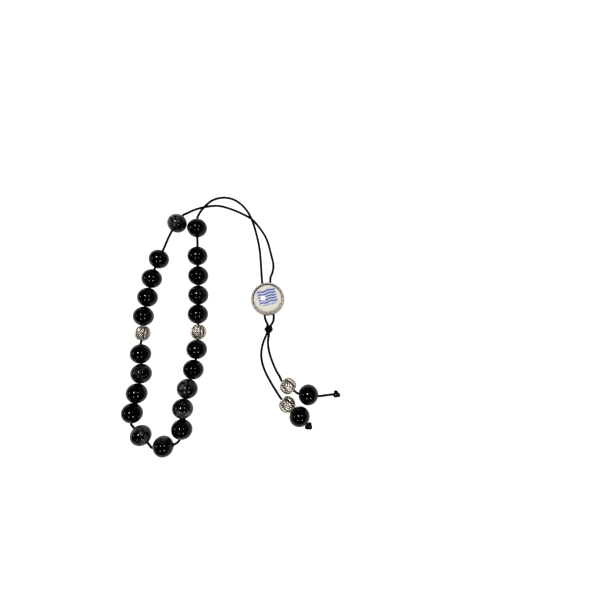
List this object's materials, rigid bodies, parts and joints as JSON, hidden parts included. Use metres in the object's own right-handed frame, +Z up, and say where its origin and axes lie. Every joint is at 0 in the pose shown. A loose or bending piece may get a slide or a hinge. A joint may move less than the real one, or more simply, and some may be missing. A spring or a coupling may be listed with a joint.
{
  "type": "worry beads",
  "caption": "String of round dark beads on one knotted black cord, with small carved metal spacers, a round medallion that gathers the loop and two short beaded tails.",
  "frame": {"origin": "middle of the laid string's box on the table plane", "axes": "+Z up from the table, +Y along the string's longest extent from the beads at the foot of the loop to its bare cord, +X towards the tails"},
  "size_m": [0.1068, 0.134, 0.01],
  "materials": {
    "dark_bead": "polished, opaque, black with faint grey clouds",
    "carved_metal": "antique silver alloy, carved, dark in the recesses",
    "cord": "braided black waxed cord",
    "bezel": "cast silver alloy, lightly polished",
    "disc": "off-white printed disc",
    "dome": "clear cast resin"
  },
  "bodies": {
    "loop": {"loop_cord": "cord", "joint_knot": "cord"},
    "medallion": {"medallion_bezel": "bezel", "medallion_disc": "disc", "medallion_dome": "dome"},
    "loop_bead_01": {"loop_bead_01": "dark_bead"},
    "loop_bead_02": {"loop_bead_02": "dark_bead"},
    "loop_bead_03": {"loop_bead_03": "dark_bead"},
    "loop_bead_04": {"loop_bead_04": "dark_bead"},
    "loop_bead_05": {"loop_bead_05": "dark_bead"},
    "loop_bead_06": {"loop_bead_06": "dark_bead"},
    "loop_bead_07": {"loop_bead_07": "dark_bead"},
    "loop_bead_08": {"loop_bead_08": "dark_bead"},
    "loop_bead_09": {"loop_bead_09": "dark_bead"},
    "loop_bead_10": {"loop_bead_10": "dark_bead"},
    "loop_bead_11": {"loop_bead_11": "dark_bead"},
    "loop_bead_12": {"loop_bead_12": "dark_bead"},
    "loop_bead_13": {"loop_bead_13": "dark_bead"},
    "loop_bead_14": {"loop_bead_14": "dark_bead"},
    "loop_bead_15": {"loop_bead_15": "dark_bead"},
    "loop_bead_16": {"loop_bead_16": "dark_bead"},
    "loop_bead_17": {"loop_bead_17": "dark_bead"},
    "loop_bead_18": {"loop_bead_18": "dark_bead"},
    "loop_bead_19": {"loop_bead_19": "dark_bead"},
    "loop_bead_20": {"loop_bead_20": "dark_bead"},
    "loop_bead_21": {"loop_bead_21": "dark_bead"},
    "metal_spacer_left": {"metal_spacer_left": "carved_metal"},
    "metal_spacer_right": {"metal_spacer_right": "carved_metal"},
    "tail_upper": {"tail_cord_upper": "cord", "end_knot_upper": "cord"},
    "tail_metal_upper": {"tail_metal_upper": "carved_metal"},
    "tail_bead_upper": {"tail_bead_upper": "dark_bead"},
    "tail_lower": {"tail_cord_lower": "cord", "end_knot_lower": "cord"},
    "tail_metal_lower": {"tail_metal_lower": "carved_metal"},
    "tail_bead_lower": {"tail_bead_lower": "dark_bead"}
  },
  "joints": [
    {"name": "medallion_slide", "type": "slide", "parent": "loop", "child": "medallion", "axis": [-0.0958, 0.9954, 0], "range_m": [-0.001, 0.0018]},
    {"name": "loop_bead_01_spin", "type": "hinge", "parent": "loop", "child": "loop_bead_01", "pos_m": [-0.031, 0.0504, 0.005], "axis": [-0.5249, -0.8512, 0], "continuous": true},
    {"name": "loop_bead_02_slide", "type": "slide", "parent": "loop", "child": "loop_bead_02", "axis": [0.3554, 0.9347, 0], "range_m": [0, 0.011]},
    {"name": "loop_bead_03_spin", "type": "hinge", "parent": "loop", "child": "loop_bead_03", "pos_m": [-0.0426, 0.02071, 0.005], "axis": [-0.204, -0.979, 0], "continuous": true},
    {"name": "loop_bead_04_spin", "type": "hinge", "parent": "loop", "child": "loop_bead_04", "pos_m": [-0.0442, 0.01093, 0.005], "axis": [-0.1566, -0.9877, 0], "continuous": true},
    {"name": "loop_bead_05_spin", "type": "hinge", "parent": "loop", "child": "loop_bead_05", "pos_m": [-0.0457, 0.00122, 0.005], "axis": [-0.074, -0.9973, 0], "continuous": true},
    {"name": "loop_bead_06_spin", "type": "hinge", "parent": "loop", "child": "loop_bead_06", "pos_m": [-0.04599, -0.01773, 0.005], "axis": [0.0702, -0.9975, 0], "continuous": true},
    {"name": "loop_bead_07_spin", "type": "hinge", "parent": "loop", "child": "loop_bead_07", "pos_m": [-0.0451, -0.0274, 0.005], "axis": [-0.0376, -0.9993, 0], "continuous": true},
    {"name": "loop_bead_08_spin", "type": "hinge", "parent": "loop", "child": "loop_bead_08", "pos_m": [-0.04671, -0.03697, 0.005], "axis": [-0.1702, -0.9854, 0], "continuous": true},
    {"name": "loop_bead_09_spin", "type": "hinge", "parent": "loop", "child": "loop_bead_09", "pos_m": [-0.04839, -0.04645, 0.005], "axis": [-0.0377, -0.9993, 0], "continuous": true},
    {"name": "loop_bead_10_spin", "type": "hinge", "parent": "loop", "child": "loop_bead_10", "pos_m": [-0.04349, -0.05691, 0.005], "axis": [0.7097, -0.7045, 0], "continuous": true},
    {"name": "loop_bead_11_spin", "type": "hinge", "parent": "loop", "child": "loop_bead_11", "pos_m": [-0.03239, -0.06201, 0.005], "axis": [0.9878, 0.1559, 0], "continuous": true},
    {"name": "loop_bead_12_spin", "type": "hinge", "parent": "loop", "child": "loop_bead_12", "pos_m": [-0.0238, -0.0541, 0.005], "axis": [0.1813, 0.9834, 0], "continuous": true},
    {"name": "loop_bead_13_spin", "type": "hinge", "parent": "loop", "child": "loop_bead_13", "pos_m": [-0.02378, -0.04431, 0.005], "axis": [0.1179, 0.993, 0], "continuous": true},
    {"name": "loop_bead_14_spin", "type": "hinge", "parent": "loop", "child": "loop_bead_14", "pos_m": [-0.02197, -0.03477, 0.005], "axis": [0.2268, 0.974, 0], "continuous": true},
    {"name": "loop_bead_15_spin", "type": "hinge", "parent": "loop", "child": "loop_bead_15", "pos_m": [-0.01938, -0.02541, 0.005], "axis": [0.2211, 0.9752, 0], "continuous": true},
    {"name": "loop_bead_16_spin", "type": "hinge", "parent": "loop", "child": "loop_bead_16", "pos_m": [-0.01809, -0.01547, 0.005], "axis": [0.0713, 0.9975, 0], "continuous": true},
    {"name": "loop_bead_17_spin", "type": "hinge", "parent": "loop", "child": "loop_bead_17", "pos_m": [-0.0182, 0.00226, 0.005], "axis": [-0.0301, 0.9995, 0], "continuous": true},
    {"name": "loop_bead_18_spin", "type": "hinge", "parent": "loop", "child": "loop_bead_18", "pos_m": [-0.0184, 0.01209, 0.005], "axis": [-0.0273, 0.9996, 0], "continuous": true},
    {"name": "loop_bead_19_spin", "type": "hinge", "parent": "loop", "child": "loop_bead_19", "pos_m": [-0.01881, 0.02219, 0.005], "axis": [-0.0548, 0.9985, 0], "continuous": true},
    {"name": "loop_bead_20_slide", "type": "slide", "parent": "loop", "child": "loop_bead_20", "axis": [-0.0465, 0.9989, 0], "range_m": [0, 0.0052]},
    {"name": "loop_bead_21_spin", "type": "hinge", "parent": "loop", "child": "loop_bead_21", "pos_m": [-0.0204, 0.0478, 0.005], "axis": [-0.0524, 0.9986, 0], "continuous": true},
    {"name": "metal_spacer_left_spin", "type": "hinge", "parent": "loop", "child": "metal_spacer_left", "pos_m": [-0.04599, -0.00734, 0.00405], "axis": [-0.0286, -0.9996, 0], "continuous": true},
    {"name": "metal_spacer_right_spin", "type": "hinge", "parent": "loop", "child": "metal_spacer_right", "pos_m": [-0.0178, -0.0067, 0.00405], "axis": [0.0017, 1, 0], "continuous": true},
    {"name": "tail_upper_swing", "type": "hinge", "parent": "loop", "child": "tail_upper", "pos_m": [0.0175, -0.005, 0.0015], "axis": [0, 0, 1], "range_deg": [0, 90]},
    {"name": "tail_metal_upper_spin", "type": "hinge", "parent": "tail_upper", "child": "tail_metal_upper", "pos_m": [0.0276, -0.0334, 0.0042], "axis": [0.788, -0.6157, 0], "continuous": true},
    {"name": "tail_bead_upper_spin", "type": "hinge", "parent": "tail_upper", "child": "tail_bead_upper", "pos_m": [0.0376, -0.0377, 0.005], "axis": [0.9925, -0.1219, 0], "continuous": true},
    {"name": "tail_lower_swing", "type": "hinge", "parent": "loop", "child": "tail_lower", "pos_m": [0.0175, -0.005, 0.0015], "axis": [0, 0, 1], "range_deg": [-50, 0]},
    {"name": "tail_metal_lower_spin", "type": "hinge", "parent": "tail_lower", "child": "tail_metal_lower", "pos_m": [0.0272, -0.0424, 0.0042], "axis": [0.7193, -0.6947, 0], "continuous": true},
    {"name": "tail_bead_lower_spin", "type": "hinge", "parent": "tail_lower", "child": "tail_bead_lower", "pos_m": [0.0333, -0.0481, 0.005], "axis": [0.7193, -0.6947, 0], "continuous": true}
  ]
}
